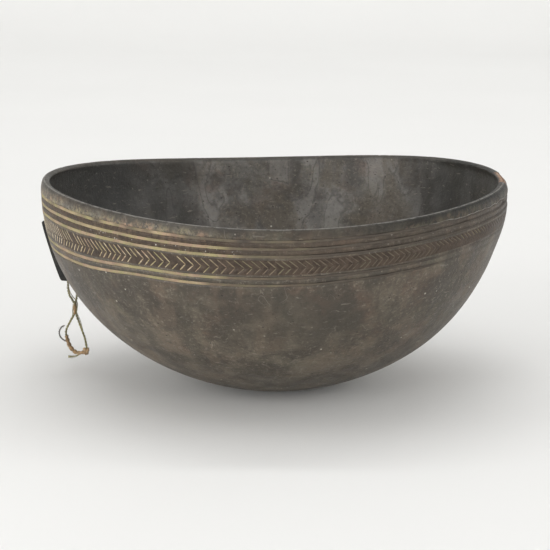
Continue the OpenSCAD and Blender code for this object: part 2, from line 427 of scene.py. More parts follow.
def wood_material(name, dark, mid, light, inside=False):
    """Old oiled wood under a worn dark patina."""
    n = Nodes(name)
    # This mark holds a dark stain low on the outside's front, and painted shade on the inside's side
    # walls.
    dim = n.attribute("dim")
    cloud = n.noise(20, 7, 0.68)
    patch = n.noise(62, 5, 0.60, distort=0.3)
    mottle = n.noise(210, 6, 0.72, distort=0.4)
    grain = n.noise(60, 7, 0.65, (1.0, 7.0, 7.0))
    base = n.mix(n.ramp(cloud, 0.36, 0.62), dark, mid)
    base = n.tint(base, n.ramp(patch, 0.50, 0.70), 0.75, light)
    red = n.ramp(n.noise(37, 5, 0.7, (1.1, 0.9, 1.2), 0.3), 0.52, 0.64)
    base = n.tint(base, red, 0.55, (0.112, 0.068, 0.046))
    olive = n.ramp(n.noise(29, 6, 0.7, (0.8, 1.2, 1.0), 0.4), 0.53, 0.66)
    base = n.tint(base, olive, 0.5, (0.098, 0.092, 0.058))
    base = n.tint(base, n.ramp(grain, 0.55, 0.75), 0.25, (0.035, 0.027, 0.021))
    blotch = n.noise(48, 5, 0.58, (1.0, 1.15, 0.9), 0.5)
    base = n.mix(n.ramp(blotch, 0.40, 0.53, 0.70, 0.0), base, (0.040, 0.032, 0.024))
    base = n.tint(base, n.ramp(blotch, 0.54, 0.66), 0.42, light)
    base = n.mix(n.ramp(mottle, 0.38, 0.52, 0.42, 0.0), base, (0.038, 0.030, 0.023))
    base = n.tint(base, n.ramp(mottle, 0.58, 0.72), 0.42, (0.20, 0.175, 0.135))
    if not inside:
        height = n.add("ShaderNodeSeparateXYZ", Vector=n.position()).outputs["Z"]
        # Painted bounce light: paler towards the base, in place of light from the floor below
        painted_bounce_light = n.ramp(height, BOUNCE_LIGHT_TOP, BOUNCE_LIGHT_BOTTOM, 0.0, 0.42)
        base = n.mix(n.times(painted_bounce_light, n.ramp(blotch, 0.42, 0.60, 0.25, 1.3)), base, light)
        drip = n.noise(44, 4, 0.55, (1.0, 1.0, 0.40), 0.35)
        base = n.tint(base, n.ramp(drip, 0.51, 0.58), 0.50, (0.050, 0.043, 0.032))
        base = n.tint(base, n.ramp(drip, 0.46, 0.40), 0.38, (0.128, 0.095, 0.066))
        base = n.tint(base, dim, 0.42, (0.040, 0.035, 0.027))
        curl = n.noise(70, 2, 0.4, distort=0.9)
        hair = n.ramp(n.math("ABSOLUTE", n.math("SUBTRACT", curl, 0.5)), 0.0065, 0.002)
        hair = n.times(hair, n.ramp(n.noise(85, 3, 0.6), 0.55, 0.60))
        base = n.tint(base, hair, 0.38, (0.26, 0.235, 0.195))
    else:
        blob = n.noise(46, 3, 0.42, (1.0, 1.0, 0.48), 0.4)
        base = n.tint(base, n.ramp(blob, 0.48, 0.58), 0.42, light)
        base = n.tint(base, n.ramp(blob, 0.49, 0.42), 0.42, (0.052, 0.048, 0.042))
        rim_of_blob = n.times(n.ramp(blob, 0.515, 0.530), n.ramp(blob, 0.550, 0.535))
        base = n.tint(base, rim_of_blob, 0.55, (0.05, 0.045, 0.04))
        earthy = n.ramp(n.noise(21, 5, 0.62, (1.2, 1.0, 0.9), 0.4), 0.51, 0.60)
        base = n.tint(base, earthy, 0.62, (0.098, 0.080, 0.056))
        # Painted shade on the inside's -X and far +X walls.
        base = n.tint(base, dim, 0.92, (0.020, 0.020, 0.018))
    fleck = n.noise(480, 4, 0.62)
    flecks_shown = n.ramp(dim, 0.0, 0.6, 0.38, 0.06)
    base = n.tint(base, n.ramp(fleck, 0.57, 0.66), flecks_shown, (0.23, 0.20, 0.16))
    base = n.tint(base, n.ramp(fleck, 0.43, 0.35), 0.40, (0.028, 0.022, 0.017))
    scuff = n.noise(150, 4, 0.75, (1, 1, 4), 0.6)
    base = n.tint(base, n.ramp(scuff, 0.61, 0.67), 0.45, (0.25, 0.225, 0.185))
    cell = n.spots(118)
    speck_mask = n.times(n.ramp(cell, 0.095, 0.05), n.ramp(n.noise(57, 2, 0.5), 0.49, 0.56))
    specks_shown = n.ramp(dim, 0.0, 0.5, 0.85, 0.15)
    base = n.tint(base, speck_mask, specks_shown, (0.50, 0.47, 0.40))
    pit = n.spots(170, (1.0, 1.0, 1.3))
    pit_mask = n.times(n.ramp(pit, 0.13, 0.07), n.ramp(patch, 0.42, 0.56))
    base = n.tint(base, pit_mask, 0.85, (0.018, 0.014, 0.011))
    # What the carving adds: dark ground, pale dirt by the lines, cuts, painted highlights on edges, fresh
    # wood in chips
    ground = n.mix(n.ramp(mottle, 0.4, 0.65), (0.040, 0.028, 0.021), (0.080, 0.057, 0.042))
    base = n.mix(n.attribute("band"), base, ground)
    # Dark patina on the collar; on the lug the same colour is painted shade.
    polish_and_lug_shade = n.mix(n.ramp(patch, 0.4, 0.65), (0.015, 0.015, 0.014), (0.036, 0.034, 0.030))
    base = n.mix(n.attribute("collar"), base, polish_and_lug_shade)
    stain_break = n.ramp(n.noise(300, 6, 0.8), 0.45, 0.52)
    earth = n.mix(n.ramp(n.noise(130, 3, 0.6), 0.42, 0.60), (0.22, 0.19, 0.11), (0.27, 0.175, 0.115))
    earth = n.mix(n.ramp(n.noise(75, 3, 0.6), 0.55, 0.62), earth, (0.16, 0.15, 0.12))
    base = n.tint(base, n.attribute("stain"), stain_break, earth)
    base = n.mix(n.attribute("cut"), base, (0.036, 0.026, 0.020))
    # Painted highlight: the edge mark turns the lip's ring and the worn ledge pale grey.
    edge = n.times(n.attribute("edge"), n.ramp(n.noise(330, 5, 0.7), 0.36, 0.52))
    base = n.mix(edge, base, (0.35, 0.34, 0.31))
    glint = n.times(n.attribute("spark"), n.ramp(n.spots(560), 0.30, 0.18))
    glint = n.times(glint, n.ramp(n.noise(210, 4, 0.7), 0.50, 0.56))
    base = n.mix(glint, base, (0.55, 0.53, 0.48))
    fresh = n.mix(n.ramp(mottle, 0.4, 0.6), (0.20, 0.105, 0.062), (0.38, 0.24, 0.16))
    base = n.mix(n.attribute("chip"), base, fresh)
    rough = n.ramp(patch, 0.3, 0.75, 0.40, 0.60)
    rough = n.math("ADD", rough, n.times(n.attribute("cut"), 0.25))
    rough = n.math("ADD", rough, n.times(n.ramp(mottle, 0.45, 0.7), 0.10))
    dull = n.math("ADD", n.attribute("collar"), n.attribute("band"))
    gloss = n.ramp(dull, 0.1, 1.0, 0.42, 0.14)
    tool = n.noise(38, 4, 0.55, (1, 1, 1.6), 0.4)
    fine = n.noise(620, 5, 0.65)
    bump = n.bump(tool, 0.0016, 0.45)
    bump = n.bump(mottle, 0.0008, 0.40, bump)
    bump = n.bump(grain, 0.0006, 0.25, bump)
    bump = n.bump(n.math("SUBTRACT", fine, pit_mask), 0.0004, 0.5, bump)
    return n.surface(Base_Color=base, Roughness=rough, Specular_IOR_Level=gloss, Normal=bump)


def fill_material():
    """Dry lime or clay, pale where it is kept clean and dark where dirt has covered it."""
    n = Nodes("lime_fill_dry")
    pale = n.attribute("pale")
    tint = n.noise(95, 4, 0.65)
    crumble = n.noise(430, 5, 0.7)
    clean = n.mix(n.ramp(tint, 0.38, 0.58), (0.315, 0.215, 0.145), (0.285, 0.250, 0.120))
    clean = n.tint(clean, n.ramp(n.noise(170, 3, 0.6), 0.50, 0.66), 0.6, (0.37, 0.28, 0.19))
    clean = n.mix(n.ramp(pale, 1.0, 1.7), clean, (0.56, 0.48, 0.35))
    dirty = n.mix(n.ramp(tint, 0.35, 0.65), (0.048, 0.038, 0.030), (0.078, 0.064, 0.050))
    broken = n.times(pale, n.ramp(crumble, 0.32, 0.46, 0.65, 1.0))
    base = n.mix(broken, dirty, clean)
    base = n.tint(base, n.ramp(crumble, 0.60, 0.70), 0.35, (0.06, 0.045, 0.035))
    rough = n.ramp(crumble, 0.3, 0.7, 0.7, 0.92)
    bump = n.bump(n.noise(1500, 3, 0.6), 0.0002, 0.5, n.bump(crumble, 0.0005, 0.5))
    return n.surface(Base_Color=base, Roughness=rough, Normal=bump)


def fibre_material(name, dark, mid, light):
    """Dry twisted plant fibre."""
    n = Nodes(name)
    tint = n.noise(110, 4, 0.6)
    strand = n.noise(1400, 3, 0.6, (1, 1, 0.35))
    base = n.mix(n.ramp(tint, 0.32, 0.62), dark, mid)
    base = n.tint(base, n.ramp(n.noise(260, 3, 0.6), 0.52, 0.68), 0.8, light)
    base = n.tint(base, n.ramp(strand, 0.55, 0.42), 0.45, (0.05, 0.04, 0.028))
    rough = n.ramp(strand, 0.3, 0.7, 0.75, 0.95)
    sheen = dict(Sheen_Weight=0.25, Sheen_Roughness=0.5)
    return n.surface(Base_Color=base, Roughness=rough, Normal=n.bump(strand, 0.0003, 0.6), **sheen)


WOOD_OUT = wood_material(
    "dark_wood_outside", (0.050, 0.040, 0.029), (0.083, 0.068, 0.049), (0.140, 0.117, 0.086)
)
WOOD_IN = wood_material(
    "dark_wood_inside", (0.118, 0.110, 0.100), (0.180, 0.170, 0.156), (0.226, 0.214, 0.197), True
)
FILL = fill_material()
CORD_FIBRE = fibre_material(
    "cord_fibre_dry", (0.10, 0.088, 0.045), (0.27, 0.25, 0.115), (0.55, 0.50, 0.31)
)
BINDING = fibre_material(
    "binding_fibre_dry", (0.22, 0.13, 0.058), (0.44, 0.285, 0.14), (0.70, 0.52, 0.33)
)
TAIL_FIBRE = fibre_material(
    "tail_fibre_dry", (0.060, 0.055, 0.050), (0.12, 0.11, 0.095), (0.24, 0.22, 0.18)
)


# ---- the cord's pieces

def make_cord():
    path = route(CORD_ROUTE, 0.4)
    verts, faces = [], []
    two_ply(verts, faces, path, CORD_D, 4.2)
    stray_fibres(verts, faces, path, 46, 1.3, 11)
    for first, last, aside, thick in SPLIT_PLIES:
        split = []
        for i, (x, y, z) in enumerate(CORD_ROUTE[first : last + 1]):
            away = sin(pi * i / (last - first))
            split.append((x + aside[0] * away, y + aside[1] * away, z))
        tube_into(verts, faces, route(split, 0.4), thick, 6)
    loop = new_mesh("cord_loop_twisted", verts, faces, [CORD_FIBRE])

    verts, faces = [], []
    core = route([WRAP_TOP, WRAP_BOTTOM], WOUND_STEP)
    wound(verts, faces, core, WRAP_D / 2, 0.30, 1.0, 0.78, 0, (0.68, 1.0))
    stray_fibres(verts, faces, route([WRAP_TOP, (0, -0.85, -27), WRAP_BOTTOM], 0.25), 7, 0.9, 4)
    wrap = new_mesh("cord_wrap_wound", verts, faces, [BINDING])

    verts, faces = [], []
    foot = CORD_ROUTE[WHIPPING_FIRST : WHIPPING_LAST + 1]
    wound(verts, faces, route(foot, WOUND_STEP), WHIPPING_D / 2 + 0.15, 0.36, 2.0, 0.85, 6)
    tube_into(verts, faces, route(foot, 0.8), 0.95, 8)
    stray_fibres(verts, faces, route(foot, 0.4), 10, 1.0, 5)
    whipping = new_mesh("cord_whipping_wound", verts, faces, [BINDING])

    verts, faces = [], []
    middle = from_lug_hole(KNOT_MIDDLE)
    turns = []
    for k in range(KNOT_STEPS):
        t = TURN * k / KNOT_STEPS
        a = (sin(t) + 2 * sin(2 * t)) / 3
        b = (cos(t) - 2 * cos(2 * t)) / 3
        c = -sin(3 * t)
        turns.append(
            middle
            + a * (KNOT_D / 2 - 0.75) * LUG_OUTWARDS
            + c * 1.0 * LUG_ALONG
            + Vector((0, 0, b * (KNOT_H / 2 - 0.75)))
        )
    two_ply(verts, faces, turns, 1.7, 3.4, closed=True)
    knot = new_mesh("cord_knot_tied", verts, faces, [BINDING])

    tails = []
    for name, points, swell in (
        ("cord_tail_upper_frayed", TAIL_UPPER_ROUTE, 0.0),
        ("cord_tail_lower_frayed", TAIL_LOWER_ROUTE, 0.7),
    ):
        verts, faces = [], []
        path = route(points, 0.3)
        two_ply(verts, faces, path, TAIL_D, 2.6, 6, lambda u, s=swell: 1 + s * smoothstep(0.72, 0.9, u))
        stray_fibres(verts, faces, path, 8, 0.9, 6)
        tails.append(new_mesh(name, verts, faces, [TAIL_FIBRE if swell == 0 else CORD_FIBRE]))
    return loop, wrap, whipping, knot, tails[0], tails[1]


cord, wrap, whipping, knot, tail_upper, tail_lower = make_cord()
for piece, node in (
    (cord, "cord_loop"),
    (wrap, "cord_wrap"),
    (whipping, "cord_whipping"),
    (knot, "cord_knot"),
    (tail_upper, "cord_tail_upper"),
    (tail_lower, "cord_tail_lower"),
):
    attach(piece, "cord_body")
    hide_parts(node)
cord_path = route(CORD_ROUTE, 1.0)


# ---- the bowl's surface

def rim_z(a):
    """The rim's height at an angle round the bowl: a saddle, slightly uneven as carved by hand."""
    saddle = RIM_MEAN + RIM_RISE / 2 * cos(2 * a)
    uneven = 1.5 * cos(a) + 1.0 * sin(2 * a) - 0.3 * cos(3 * a) - 0.4 * cos(4 * a)
    return BELLY_Z + saddle + uneven


def line_scale(a, drop):
    """The lines run closer to the rim at +X than at -X, the lower ones most of all."""
    low = min(1.0, drop / LOWER_DROPS[0])
    return 0.925 - 0.095 * cos(a) + 0.10 * low * smoothstep(0.5, 0.85, -cos(a))


def outside_r(a, z):
    """The outside's radius at an angle and a height: uneven, and fuller at the +X shoulder."""
    if z > BELLY_Z:
        r = OUTER_R * (1 - ((z - BELLY_Z) / CURL_H) ** 2)
    else:
        r = body_r(z)
    low = max(0.0, (BELLY_Z - z) / BELLY_Z)
    lean = 0.9 * cos(a) * smoothstep(0.35, 0.9, low)
    uneven = 0.22 * ring_wave(a, 2.4, z / 38)
    shoulder = 1.2 - 2.0 * smoothstep(0.08, 0.30, low) + 0.8 * smoothstep(0.45, 0.75, low)
    return r + lean + uneven + shoulder * max(0.0, cos(a)) ** 6


def wobble(a, drop):
    """How far a carved line strays from its drop."""
    return 0.16 * ring_wave(a, 9, drop * 0.11) + 0.07 * ring_wave(a, 31, drop * 0.2)


def carved_point(a, drop, out):
    """A point at an angle and a drop below the rim, a distance outside the surface."""
    z = rim_z(a) - line_scale(a, drop) * (drop + wobble(a, drop) * smoothstep(0, 5, drop))
    r = outside_r(a, z) + out
    return polar(r, a, z)


def angle_deg(a):
    return degrees(a) % 360


def kept(a, ends_at, soft=7.0):
    """How much pale fill is kept at an angle: all of it round the -X side, less round the rest."""
    d = angle_deg(a)
    front = 1 - smoothstep(ends_at - soft / 2, ends_at + soft / 2, d)
    back = smoothstep(60, 130, d)
    left = front * back
    rest = max(0.0, 0.02 + 0.16 * ring_wave(a, 5, 8.0))
    if 180 < d < 320:
        rest += 0.24 * (1 - smoothstep(262, 288, d))
    return max(left, rest)


# ---- the herringbone strokes

COLUMNS = 4 * CHEVRONS
PERIOD = TURN / CHEVRONS
BAND_H = BAND_BOTTOM - BAND_TOP
APEX_SHARE = 0.58
APEX = BAND_TOP + APEX_SHARE * BAND_H
RUN_UPPER = APEX - BAND_TOP
RUN_LOWER = BAND_BOTTOM - APEX
CARVED_R = 147.0  # turns distances along the band into angles
STROKE_HALF = 0.5
STROKE_DEEP = 0.6


SPREAD_AT = radians(254)
SPREAD_BY = 0.085
SPREAD_OVER = 0.25


def spread(a):
    """The chevrons stand wider apart on one stretch of the front, as the carver paced them."""
    away = (a - SPREAD_AT + pi) % TURN - pi
    return a + SPREAD_BY * (tanh(away / SPREAD_OVER) - away / pi)


def stroke_strength(a):
    """How much wear has left of the upper and lower strokes at an angle."""
    d = angle_deg(a)
    upper = 1 - 0.55 * smoothstep(292, 306, d) + 0.35 * smoothstep(308, 314, d)
    lower = 1 - 0.55 * smoothstep(292, 306, d) - 0.40 * smoothstep(307, 312, d)
    if d < 30:
        upper, lower = 0.6 + 0.4 * d / 30, 0.2 + 0.8 * d / 30
    return upper, lower


def make_strokes():
    """One set of chances for each hand-cut chevron."""
    rng = random.Random(23)
    strokes = []
    for k in range(CHEVRONS):
        a = spread(PERIOD * k)
        upper, lower = stroke_strength(a)
        uneven = 1.25 if angle_deg(a) < 300 else 2.2
        strokes.append(
            {
                "top": rng.gauss(0, 0.20) * uneven,
                "apex": rng.gauss(0, 0.20),
                "bottom": rng.gauss(0, 0.26),
                "half": STROKE_HALF * rng.uniform(0.75, 1.15),
                "upper": upper * rng.uniform(0.82, 1.08) * (rng.random() > 0.006),
                "lower": lower * rng.uniform(0.8, 1.08) * (rng.random() > 0.012),
                "start": BAND_TOP + rng.uniform(0.1, 1.0),
                "end": BAND_BOTTOM - rng.uniform(0.1, 1.0),
                "pale": rng.uniform(0.66, 0.88),
            }
        )
    return strokes


STROKES = make_strokes()


def stroke_shift(k, drop):
    """How far a chevron's middle lies along the band at a drop, and how far it strays, in mm."""
    s = STROKES[k % CHEVRONS]
    if drop <= BAND_TOP:
        return 0.0, s["top"]
    if drop <= APEX:
        u = (drop - BAND_TOP) / (APEX - BAND_TOP)
        return RUN_UPPER * u, s["top"] * (1 - u) + s["apex"] * u
    if drop <= BAND_BOTTOM:
        u = (drop - APEX) / (BAND_BOTTOM - APEX)
        return RUN_UPPER - RUN_LOWER * u, s["apex"] * (1 - u) + s["bottom"] * u
    return RUN_UPPER - RUN_LOWER, s["bottom"]


def in_band(drop, soft=0.9):
    return plateau(drop, BAND_TOP - soft, BAND_TOP, BAND_BOTTOM, BAND_BOTTOM + soft)


def stroke_angle(k, drop, offset=0.0):
    run, stray = stroke_shift(k, drop)
    return spread(PERIOD * k) + (run + stray * in_band(drop) + offset) / CARVED_R


def column_angle(i, drop):
    """The angle of a column of the carved grid: three of each four follow one stroke."""
    k, c = divmod(i, 4)
    w = in_band(drop)
    half = STROKES[k]["half"] * w + PERIOD * CARVED_R / 4 * (1 - w)
    if c < 3:
        return stroke_angle(k, drop, (c - 1) * half)
    after = stroke_angle(k + 1, drop)
    return (stroke_angle(k, drop) + after) / 2


def stroke_depth(k, drop):
    """How deep a stroke is cut at a drop, tapering to its ends."""
    s = STROKES[k % CHEVRONS]
    if drop < APEX:
        share = s["upper"] * smoothstep(s["start"] - 0.1, s["start"] + 1.0, drop)
    else:
        share = s["lower"] * (1 - smoothstep(s["end"] - 1.0, s["end"] + 0.1, drop))
        share *= smoothstep(APEX - 0.1, APEX + 0.3, drop) * 0.4 + 0.6
    return STROKE_DEEP * share


def apex_share(a):
    return 0.53 - 0.06 * cos(a)


def placed_drop(a, drop):
    """The chevrons' points sit a little lower in the band at -X than at +X."""
    if not BAND_TOP < drop < BAND_BOTTOM:
        return drop
    share = apex_share(a)
    if drop < APEX:
        return BAND_TOP + (drop - BAND_TOP) / (APEX - BAND_TOP) * share * BAND_H
    return BAND_BOTTOM - (BAND_BOTTOM - drop) / (BAND_BOTTOM - APEX) * (1 - share) * BAND_H


# ---- the bowl

MARKS = ("stain", "cut", "edge", "chip", "band", "collar", "spark", "dim")
CHIP_FROM, CHIP_TO = radians(-9.5), radians(6.5)
LINES = UPPER_DROPS + LOWER_DROPS
WORN_OFF = (0.0, 0.55, 0.55, 0.78, 0.86)  # how much of each line's groove the worn side has lost


# The angles from +X, in degrees, over which the wear sets in and over which it ends
WORN_FROM, WORN_TO = (-62, -38), (25, 50)


def worn_side(a):
    """1 round +X towards the front, where handling has worn and chipped the carving; else 0."""
    d = angle_deg(a)
    return plateau(d - 360 if d > 180 else d, *WORN_FROM, *WORN_TO)


def line_cut(a, drop, line):
    """Depth share of one line's groove at a drop."""
    away = abs(drop - LINES[line])
    return 1 - smoothstep(LINE_W / 2 - 0.25, LINE_W / 2, away)


def carve(a, drop, k, c):
    """The depth below the plain surface and the marks at a point of the carved zone."""
    worn = worn_side(a)
    depth = 0.0
    cut = 0.0
    edge = 0.0
    for line in range(len(LINES)):
        share = line_cut(a, drop, line)
        keep = 1 - WORN_OFF[line] * worn
        depth += CARVE * share * keep
        cut = max(cut, 0.8 * share * keep)
    between = plateau(drop, 7.5, 8.4, 17.3, 18.6)
    depth += between * (0.06 + 0.44 * worn)
    inside = plateau(drop, BAND_TOP, BAND_TOP + 0.5, BAND_BOTTOM - 0.5, BAND_BOTTOM)
    depth += 0.12 * inside * (1 - 0.5 * worn)
    if c == 1:
        groove = stroke_depth(k, drop) if BAND_TOP < drop < BAND_BOTTOM else 0.0
        depth += groove
        cut = max(cut, min(1.0, groove / STROKE_DEEP) * 0.9)
    ridge = between * (1 - cut) * (0.5 + 0.5 * kept(a, 262))
    # Painted highlight: a pale line along the collar's foot on the worn side.
    if drop < 6.6:
        collar_foot = smoothstep(5.9, 6.4, drop)
        ledge = min(1.0, worn * collar_foot * (0.95 + 0.9 * ring_wave(a, 26, 4.0)))
        edge = max(edge, ledge)
    if 6.6 < drop < 12:
        pitted = worn * smoothstep(0.0, 0.25, ring_wave(a, 13, 0.25 * drop))
        depth += 0.25 * pitted
        cut = max(cut, 0.9 * pitted)
    step = worn * (1 - smoothstep(0.0, 0.7, abs(drop - LOWER_DROPS[0] + LINE_W / 2)))
    depth += 0.25 * step * smoothstep(-0.1, 0.3, ring_wave(a, 7, 2.0))
    cut = max(cut, 0.8 * step * smoothstep(-0.2, 0.2, ring_wave(a, 9, 7.0)))
    return depth, cut, edge, max(0.85 * inside, 0.9 * ridge)


def collar_dark(a):
    """The band above the lines is darkest round the +X side of the front."""
    d = angle_deg(a)
    return smoothstep(272, 318, d) if d > 180 else 1 - smoothstep(20, 60, d)


def spark(a, drop):
    """Bright crumbs of lime between the second and third lines, on one stretch."""
    d = angle_deg(a)
    along = plateau(d, 216, 236, 256, 268) + 0.25 * smoothstep(268, 300, d)
    return along * (1 - smoothstep(1.0, 3.0, abs(drop - 14.6)))


def collar_stain(a, drop):
    """Pale dirt and earth colours in streaks above the first line, round the -X side."""
    left = kept(a, 254, 24) if 178 < angle_deg(a) < 300 else 0.25
    streak = 0.5 + 0.6 * ring_wave(a, 34, 0.2 * drop)
    streak += 0.5 * ring_wave(a, 95, 0.6 * drop)
    up = smoothstep(1.2, 6.6, drop + 2.6 * streak - 1.2)
    return max(0.0, min(1.0, left * up * (0.30 + 0.9 * streak)))


class Surface:
    """Rings of points, joined one after another, with marks for the materials."""

    def __init__(self):
        self.verts = []
        self.marks = {m: [] for m in MARKS}
        self.faces = []
        self.face_materials = []
        self.last = None

    def point(self, p, **marks):
        self.verts.append(p)
        for m in MARKS:
            self.marks[m].append(marks.get(m, 0.0))
        return len(self.verts) - 1

    def ring(self, indices, material=0):
        if self.last is not None:
            self.join(self.last, indices, material)
        self.last = indices

    def face(self, face, material):
        self.faces.append(face)
        self.face_materials.append(material)

    def join(self, low, high, material):
        """Faces between a ring and the next one, which may have half or twice as many points."""
        n, m = len(low), len(high)
        if n == m:
            for i in range(n):
                j = (i + 1) % n
                self.face((low[i], low[j], high[j], high[i]), material)
        elif m == 2 * n:
            for i in range(n):
                j = (i + 1) % n
                h = (2 * i + 2) % m
                self.face((low[i], high[2 * i + 1], high[2 * i]), material)
                self.face((low[i], low[j], high[h], high[2 * i + 1]), material)
        else:
            for i in range(m):
                j = (i + 1) % m
                h = (2 * i + 2) % n
                self.face((low[2 * i], low[2 * i + 1], high[i]), material)
                self.face((low[2 * i + 1], low[h], high[j], high[i]), material)

    def cap(self, centre, material, up):
        ring = self.last
        n = len(ring)
        for i in range(n):
            j = (i + 1) % n
            self.face((ring[i], ring[j], centre) if up else (ring[j], ring[i], centre), material)


LINE_ROWS = (-1.05, -0.93, -0.8, 0.8, 0.93, 1.05)
CARVED_ROWS = (
    [0.9, 1.8, 3.4, 5.0, 5.9]
    + [d + o for d in UPPER_DROPS[:1] for o in LINE_ROWS]
    + [9.95]
    + [UPPER_DROPS[1] + o for o in LINE_ROWS]
    + [14.85]
    + [UPPER_DROPS[2] + o for o in LINE_ROWS]
    + [BAND_TOP - 0.45, BAND_TOP, BAND_TOP + 0.5]
    + [BAND_TOP + 1.25 + 0.8 * i for i in range(6)]
    + [APEX, APEX + 0.35]
    + [APEX + 1.0 + 0.7 * i for i in range(4)]
    + [BAND_BOTTOM - 0.5, BAND_BOTTOM, BAND_BOTTOM + 0.45]
    + [LOWER_DROPS[0] + o for o in LINE_ROWS]
    + [LOWER_DROPS[0] + LINE_W / 2 + 1.3]
    + [LOWER_DROPS[1] + o for o in LINE_ROWS]
    + [LOWER_DROPS[1] + 2.6, CARVED_END]
)
# The rim's section: how far in from the outside and how far up from the rim's height
LIP = [
    (0.08, -0.8), (0.35, -0.3), (0.85, -0.03), (1.6, 0.03), (2.4, -0.08), (3.2, -0.4), (3.9, -0.95),
    (4.3, -1.6),
]
LIP_SHINE = 0.85  # the ring of the lip painted with a bright highlight
INNER_DROPS = [2.6, 4.2, 6.2, 9.4]
OUTER_ROWS = 34
INNER_ROWS = 34


def lip_roughness(a, inwards):
    """Small nicks along the rim."""
    nick = max(0.0, ring_wave(a, 40, inwards * 0.3) - 0.42)
    return 0.07 * ring_wave(a, 14, inwards * 0.4) - 1.0 * nick


def chip_share(a):
    """1 in the fresh chip at the rim's +X end, else 0."""
    a = (a + pi) % TURN - pi
    return plateau(a, CHIP_FROM, CHIP_FROM + 0.02, CHIP_TO - 0.04, CHIP_TO)


def scuff(a, z):
    """Slight hollows and flats left by carving and use, in mm."""
    return 0.10 * ring_wave(a, 6, z / 14) + 0.05 * ring_wave(a, 17, z / 7)


STAIN_ANGLE, STAIN_HALF_ANGLE = 274, 27  # degrees
STAIN_Z, STAIN_HALF_H = 78, 26


def front_stain(a, z):
    """A dark stain low on the front."""
    away = (angle_deg(a) - STAIN_ANGLE) / STAIN_HALF_ANGLE
    up = (z - STAIN_Z) / STAIN_HALF_H
    ragged = 0.7 * ring_wave(a, 9, z / 25) + 0.3 * ring_wave(a, 23, z / 11)
    return min(1.0, max(0.0, 1 - away * away - up * up + ragged))


def lower_body(surface):
    """The outside from the base up to the carved zone."""
    deepest = asin(BELLY_Z / BODY_C)
    centre = surface.point((0, 0, 0))
    for share, stride in ((0.3, 16), (0.65, 16), (1.0, 8)):
        ring = []
        for i in range(0, COLUMNS, stride):
            a = column_angle(i, CARVED_END)
            r = BASE_FLAT_R * share
            lift = 0.08 * share * abs(ring_wave(a, 3, share * 2))
            ring.append(surface.point(polar(r, a, lift)))
        surface.ring(ring)
        if share == 0.3:
            surface.cap(centre, 0, False)
    for row in range(1, OUTER_ROWS):
        t = 1 - row / OUTER_ROWS
        stride = 8 if row < 2 else 4 if row < 6 else 2
        ring = []
        for i in range(0, COLUMNS, stride):
            a = column_angle(i, CARVED_END)
            z_end = rim_z(a) - line_scale(a, CARVED_END) * CARVED_END
            end = asin((BELLY_Z - z_end) / BODY_C)
            z = BELLY_Z - BODY_C * sin(end + (deepest - end) * t)
            r = outside_r(a, z) + scuff(a, z) * min(1, row / 4)
            ring.append(surface.point(polar(r, a, z), dim=front_stain(a, z)))
        surface.ring(ring)


def carved_zone(surface):
    for drop in reversed(CARVED_ROWS):
        ring = []
        for i in range(COLUMNS):
            k, c = divmod(i, 4)
            a = column_angle(i, drop)
            depth, cut, edge, band = carve(a, drop, k, c)
            stain = collar_stain(a, drop) if drop < UPPER_DROPS[0] - 0.9 else 0.0
            nearest = min(abs(drop - d) for d in LINES) - LINE_W / 2
            if nearest > 0 and c != 1:
                stain = max(stain, kept(a, 258) * 0.35 * (1 - smoothstep(0.1, 0.7, nearest)))
            z_here = rim_z(a) - drop
            out = scuff(a, z_here) - depth
            notch = chip_share(a) * (1 - smoothstep(1.5, 3.2, drop))
            chipped = worn_side(a) * smoothstep(4.0, 6.3, drop) * (drop < 7)
            slide = chipped * (ring_wave(a, 21, 1.0) - 0.8)
            x, y, z = carved_point(a, placed_drop(a, drop), out - 0.9 * notch)
            foot = 5.6 + 1.8 * worn_side(a)
            dull = (0.42 + 0.55 * collar_dark(a)) * (1 - smoothstep(foot, foot + 1.4, drop)) * (1 - stain)
            marks = dict(stain=stain, cut=cut, edge=edge, band=band, chip=notch, collar=dull)
            ring.append(surface.point((x, y, z + slide), spark=spark(a, drop), **marks))
        surface.ring(ring)


def rim_top(surface):
    for inwards, up in LIP:
        ring = []
        for i in range(COLUMNS):
            a = column_angle(i, 0.0)
            ragged = 3.3 + 1.6 * ring_wave(a, 60, 6.0)
            chip = chip_share(a) * (1 - smoothstep(ragged - 0.3, ragged + 0.3, inwards))
            z = rim_z(a) + up + lip_roughness(a, inwards) - 1.1 * chip * (3.6 - inwards) / 3.6
            r = outside_r(a, rim_z(a) - 0.5) - inwards - 0.5 * chip * (inwards < 1)
            # Painted highlight: a pale ring along the lip, faint over the rest of the rim's top.
            edge = 0.6 if inwards == LIP_SHINE else 0.05
            dull = 0.6 + 0.35 * collar_dark(a)
            marks = {"edge": edge * (1 - chip), "chip": chip, "collar": dull}
            ring.append(surface.point(polar(r, a, z), **marks))
        surface.ring(ring, 1 if inwards > 4 else 0)


def inside_dim(x):
    """Painted shade: the inside is painted darkest towards -X and at the far +X end, where its side walls
    fall in shade.
    """
    left = 1 - 0.28 * smoothstep(-112, -92, x) - 0.72 * smoothstep(-70, -44, x)
    right = 0.88 * smoothstep(78, 122, x)
    return max(left, right)


def inside_r(a, z):
    if z > BELLY_Z:
        return outside_r(a, z) - RIM_WALL
    return HOLLOW_R * sqrt(max(0.0, 1 - ((z - BELLY_Z) / HOLLOW_C) ** 2))


